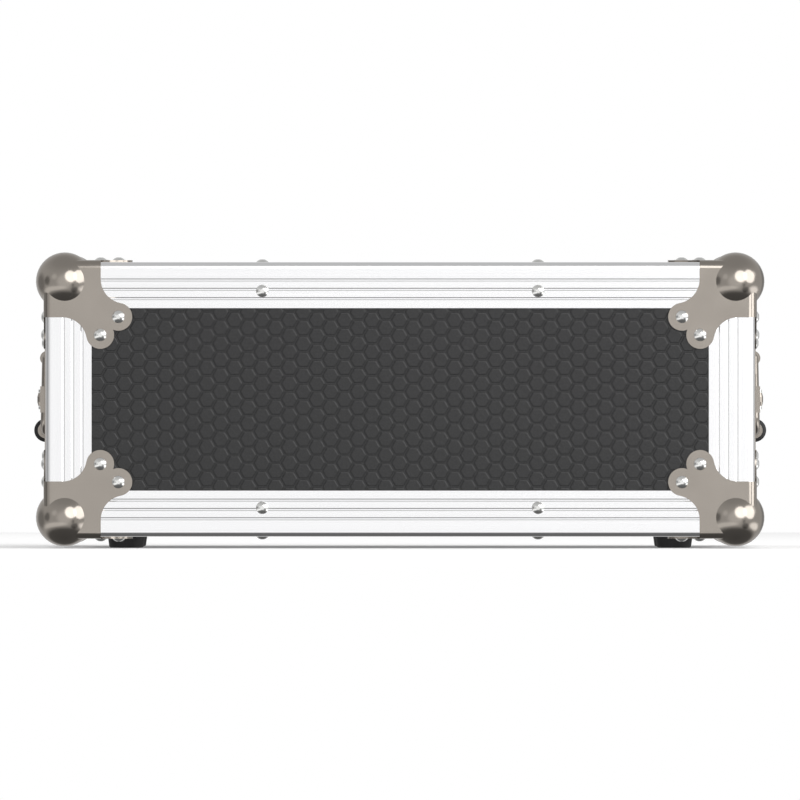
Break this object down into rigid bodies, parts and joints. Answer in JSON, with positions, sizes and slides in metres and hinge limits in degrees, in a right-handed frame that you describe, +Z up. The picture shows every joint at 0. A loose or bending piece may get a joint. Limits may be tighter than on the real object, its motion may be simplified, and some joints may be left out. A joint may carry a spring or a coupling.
{
  "type": "rack case",
  "caption": "Rack case: open plywood sleeve with rack rails, lift-off front and rear lids, aluminium extrusions, ball corners, butterfly latches, sprung drop handles and rubber feet.",
  "frame": {"origin": "middle of the case's plan, at the height of the floor that the feet stand on", "axes": "+X to the right seen from the front lid, +Y from the front lid towards the rear lid, +Z up"},
  "size_m": [0.562, 0.5556, 0.2255],
  "materials": {
    "laminate": "plywood faced with black laminate embossed with a honeycomb relief, semi-matt",
    "extrusion": "clear anodised aluminium extrusion with fine grooves along it",
    "rail": "zinc-plated steel sheet",
    "bright_steel": "bright zinc-plated steel",
    "plated_steel": "dark nickel-plated pressed steel with fine brushing",
    "rubber": "black rubber, matt"
  },
  "bodies": {
    "sleeve": {"sleeve_top_panel": "laminate", "sleeve_bottom_panel": "laminate", "sleeve_left_panel": "laminate", "sleeve_right_panel": "laminate", "sleeve_upper_edges": "extrusion", "sleeve_lower_edges": "extrusion", "sleeve_front_rim": "extrusion", "sleeve_rear_rim": "extrusion", "sleeve_braces": "plated_steel", "sleeve_rivets": "bright_steel", "front_left_rail": "rail", "front_right_rail": "rail", "rear_left_rail": "rail", "rear_right_rail": "rail", "rail_screws": "bright_steel", "feet": "rubber", "foot_screws": "bright_steel", "left_handle_dish": "plated_steel", "right_handle_dish": "plated_steel", "handle_springs": "plated_steel", "front_left_base": "plated_steel", "front_right_base": "plated_steel", "rear_left_base": "plated_steel", "rear_right_base": "plated_steel"},
    "front_lid": {"front_lid_panel": "laminate", "front_lid_walls": "laminate", "front_lid_face_edges": "extrusion", "front_lid_side_edges": "extrusion", "front_lid_rim": "extrusion", "front_lid_corners": "plated_steel", "front_lid_braces": "plated_steel", "front_lid_keepers": "plated_steel", "front_lid_rivets": "bright_steel"},
    "rear_lid": {"rear_lid_panel": "laminate", "rear_lid_walls": "laminate", "rear_lid_face_edges": "extrusion", "rear_lid_side_edges": "extrusion", "rear_lid_rim": "extrusion", "rear_lid_corners": "plated_steel", "rear_lid_braces": "plated_steel", "rear_lid_keepers": "plated_steel", "rear_lid_rivets": "bright_steel"},
    "front_left_hook": {"front_left_hook": "plated_steel"},
    "front_left_rotor": {"front_left_rotor": "bright_steel"},
    "front_left_wing": {"front_left_wing": "plated_steel"},
    "front_right_hook": {"front_right_hook": "plated_steel"},
    "front_right_rotor": {"front_right_rotor": "bright_steel"},
    "front_right_wing": {"front_right_wing": "plated_steel"},
    "rear_left_hook": {"rear_left_hook": "plated_steel"},
    "rear_left_rotor": {"rear_left_rotor": "bright_steel"},
    "rear_left_wing": {"rear_left_wing": "plated_steel"},
    "rear_right_hook": {"rear_right_hook": "plated_steel"},
    "rear_right_rotor": {"rear_right_rotor": "bright_steel"},
    "rear_right_wing": {"rear_right_wing": "plated_steel"},
    "left_handle": {"left_bail": "bright_steel", "left_grip": "rubber"},
    "right_handle": {"right_bail": "bright_steel", "right_grip": "rubber"}
  },
  "joints": [
    {"name": "front_lid_slide", "type": "slide", "parent": "sleeve", "child": "front_lid", "axis": [0, -1, 0], "range_m": [0, 0.15]},
    {"name": "rear_lid_slide", "type": "slide", "parent": "sleeve", "child": "rear_lid", "axis": [0, 1, 0], "range_m": [0, 0.15]},
    {"name": "front_left_turn", "type": "hinge", "parent": "sleeve", "child": "front_left_rotor", "pos_m": [-0.27, -0.142, 0.1135], "axis": [-1, 0, 0], "range_deg": [0, 180]},
    {"name": "front_left_pull", "type": "slide", "parent": "sleeve", "child": "front_left_hook", "axis": [0.4472, 0.8944, 0], "range_m": [0, 0.00671]},
    {"name": "front_left_fold", "type": "hinge", "parent": "front_left_rotor", "child": "front_left_wing", "pos_m": [-0.2745, -0.142, 0.1135], "axis": [0, 0, 1], "range_deg": [0, 90]},
    {"name": "front_right_turn", "type": "hinge", "parent": "sleeve", "child": "front_right_rotor", "pos_m": [0.27, -0.142, 0.1135], "axis": [1, 0, 0], "range_deg": [0, 180]},
    {"name": "front_right_pull", "type": "slide", "parent": "sleeve", "child": "front_right_hook", "axis": [-0.4472, 0.8944, 0], "range_m": [0, 0.00671]},
    {"name": "front_right_fold", "type": "hinge", "parent": "front_right_rotor", "child": "front_right_wing", "pos_m": [0.2745, -0.142, 0.1135], "axis": [0, 0, -1], "range_deg": [0, 90]},
    {"name": "rear_left_turn", "type": "hinge", "parent": "sleeve", "child": "rear_left_rotor", "pos_m": [-0.27, 0.142, 0.1135], "axis": [-1, 0, 0], "range_deg": [0, 180]},
    {"name": "rear_left_pull", "type": "slide", "parent": "sleeve", "child": "rear_left_hook", "axis": [0.4472, -0.8944, 0], "range_m": [0, 0.00671]},
    {"name": "rear_left_fold", "type": "hinge", "parent": "rear_left_rotor", "child": "rear_left_wing", "pos_m": [-0.2745, 0.142, 0.1135], "axis": [0, 0, -1], "range_deg": [0, 90]},
    {"name": "rear_right_turn", "type": "hinge", "parent": "sleeve", "child": "rear_right_rotor", "pos_m": [0.27, 0.142, 0.1135], "axis": [1, 0, 0], "range_deg": [0, 180]},
    {"name": "rear_right_pull", "type": "slide", "parent": "sleeve", "child": "rear_right_hook", "axis": [-0.4472, -0.8944, 0], "range_m": [0, 0.00671]},
    {"name": "rear_right_fold", "type": "hinge", "parent": "rear_right_rotor", "child": "rear_right_wing", "pos_m": [0.2745, 0.142, 0.1135], "axis": [0, 0, 1], "range_deg": [0, 90]},
    {"name": "left_handle_swing", "type": "hinge", "parent": "sleeve", "child": "left_handle", "pos_m": [-0.2708, 0, 0.1452], "axis": [0, 1, 0], "range_deg": [0, 90], "stiffness_Nm_per_rad": 0.15, "springref_deg": -17.19},
    {"name": "right_handle_swing", "type": "hinge", "parent": "sleeve", "child": "right_handle", "pos_m": [0.2708, 0, 0.1452], "axis": [0, -1, 0], "range_deg": [0, 90], "stiffness_Nm_per_rad": 0.15, "springref_deg": -17.19}
  ],
  "couplings": [
    {"joint": "front_left_pull", "follows": "front_left_turn", "m_per_rad": 0.002135},
    {"joint": "front_right_pull", "follows": "front_right_turn", "m_per_rad": 0.002135},
    {"joint": "rear_left_pull", "follows": "rear_left_turn", "m_per_rad": 0.002135},
    {"joint": "rear_right_pull", "follows": "rear_right_turn", "m_per_rad": 0.002135}
  ]
}
